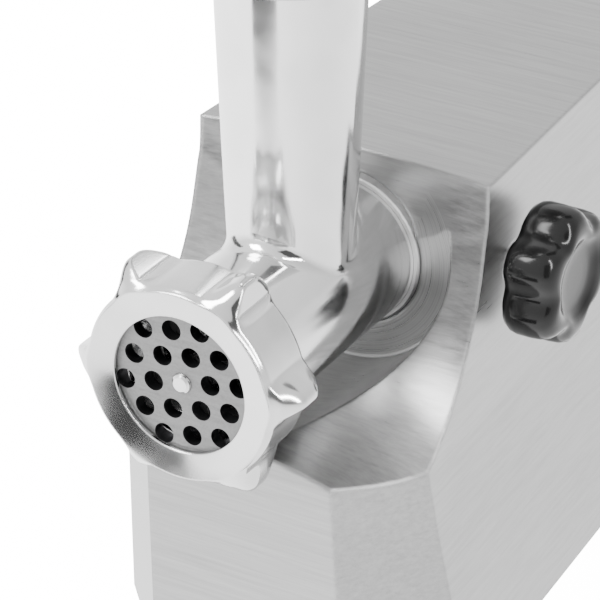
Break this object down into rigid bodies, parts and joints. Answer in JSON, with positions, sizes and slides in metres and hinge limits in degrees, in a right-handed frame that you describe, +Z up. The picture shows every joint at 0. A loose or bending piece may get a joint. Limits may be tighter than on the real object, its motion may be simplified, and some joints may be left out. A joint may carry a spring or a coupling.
{
  "type": "electric meat grinder",
  "caption": "Table-top electric meat grinder: motor housing with a scooped front, a screw-fed grinding head, lobed ring nut, perforated plate, feed tray and pusher.",
  "frame": {"origin": "on the table, below the grinding head's axis plane, midway along the housing", "axes": "+Z up, -Y towards the ring nut, +X towards the locking knob"},
  "size_m": [0.1743, 0.3371, 0.3704],
  "materials": {
    "cast_metal": "polished casting",
    "ring_metal": "polished casting",
    "housing_metal": "brushed",
    "cover_metal": "brushed",
    "plate_steel": "sand-ground",
    "knife_steel": "ground",
    "bright_steel": "bright",
    "shaft_steel": "turned",
    "gear_steel": "cut",
    "laminations": "varnished stack",
    "copper": "enamelled wire",
    "zinc": "cast zinc",
    "black_plastic": "satin moulded",
    "gloss_black": "glossy moulded",
    "white_plastic": "moulded",
    "red_plastic": "moulded",
    "rubber": "moulded rubber",
    "brass": "turned",
    "board_green": "lacquered board",
    "capacitor_can": "drawn can"
  },
  "bodies": {
    "housing": {"head_body": "cast_metal", "grinder_plate": "plate_steel", "housing_shell": "housing_metal", "rear_cover": "cover_metal", "rear_cover_screws": "bright_steel", "base_plate": "cover_metal", "rubber_feet": "rubber", "foot_screws": "bright_steel", "head_socket": "zinc", "socket_screws": "bright_steel", "gearbox_case": "zinc", "gearbox_cover": "zinc", "gearbox_screws": "bright_steel", "output_front_bearing": "bright_steel", "output_rear_bearing": "bright_steel", "shaft_seal": "rubber", "intermediate_bushes": "brass", "motor_stator": "laminations", "stator_windings": "copper", "motor_front_bracket": "zinc", "motor_rear_bracket": "zinc", "motor_front_bearing": "bright_steel", "motor_rear_bearing": "bright_steel", "motor_bolts": "bright_steel", "motor_cradle": "zinc", "gearbox_stand": "zinc", "switch_panel": "black_plastic", "rocker_body": "black_plastic", "reverse_spring": "bright_steel", "reverse_body": "black_plastic", "inlet_socket": "black_plastic", "inlet_pins": "brass", "reset_body": "black_plastic", "circuit_board": "board_green", "board_parts": "black_plastic", "run_capacitor": "capacitor_can", "capacitor_strap": "zinc"},
    "auger_drive": {"auger": "cast_metal", "auger_stud": "bright_steel", "grinder_knife": "knife_steel", "thrust_washer": "white_plastic", "output_shaft": "shaft_steel", "output_gear": "gear_steel", "gear_key": "bright_steel"},
    "intermediate": {"intermediate_shaft": "shaft_steel", "intermediate_pinion": "gear_steel", "intermediate_wheel": "gear_steel"},
    "rotor": {"rotor_shaft": "shaft_steel", "rotor_core": "laminations", "motor_pinion": "gear_steel", "motor_fan": "black_plastic"},
    "nut": {"ring_nut": "ring_metal"},
    "tray": {"feed_tray": "cover_metal"},
    "pusher": {"feed_pusher": "black_plastic"},
    "lock": {"lock_knob": "gloss_black", "lock_spindle": "bright_steel"},
    "rocker": {"power_rocker": "red_plastic"},
    "reverse": {"reverse_button": "gloss_black"},
    "reset": {"reset_button": "red_plastic"}
  },
  "joints": [
    {"name": "rotor_turn", "type": "hinge", "parent": "housing", "child": "rotor", "pos_m": [0, 0.07, 0.0915], "axis": [0, 1, 0], "continuous": true},
    {"name": "intermediate_turn", "type": "hinge", "parent": "housing", "child": "intermediate", "pos_m": [0, 0, 0.1275], "axis": [0, 1, 0], "continuous": true},
    {"name": "auger_turn", "type": "hinge", "parent": "housing", "child": "auger_drive", "pos_m": [0, -0.1, 0.168], "axis": [0, 1, 0], "continuous": true},
    {"name": "ring_nut_turn", "type": "hinge", "parent": "housing", "child": "nut", "pos_m": [0, -0.18, 0.168], "axis": [0, 1, 0], "range_deg": [0, 990]},
    {"name": "lock_knob_turn", "type": "hinge", "parent": "housing", "child": "lock", "pos_m": [0.08, -0.042, 0.168], "axis": [1, 0, 0], "range_deg": [0, 540]},
    {"name": "tray_lift", "type": "slide", "parent": "housing", "child": "tray", "axis": [0, 0, 1], "range_m": [0, 0.03]},
    {"name": "pusher_lift", "type": "slide", "parent": "tray", "child": "pusher", "axis": [0, 0, 1], "range_m": [0, 0.1]},
    {"name": "power_rocker_tip", "type": "hinge", "parent": "housing", "child": "rocker", "pos_m": [-0.0565, 0.044, 0.16], "axis": [0, 1, 0], "range_deg": [0, 12]},
    {"name": "reverse_press", "type": "slide", "parent": "housing", "child": "reverse", "axis": [1, 0, 0], "range_m": [0, 0.0025], "stiffness_N_per_m": 400, "deforming": ["reverse_spring"]},
    {"name": "reset_press", "type": "slide", "parent": "housing", "child": "reset", "axis": [0, -1, 0], "range_m": [0, 0.003], "stiffness_N_per_m": 400}
  ],
  "couplings": [
    {"joint": "intermediate_turn", "follows": "rotor_turn", "ratio": -0.2},
    {"joint": "auger_turn", "follows": "rotor_turn", "ratio": 0.063415}
  ]
}
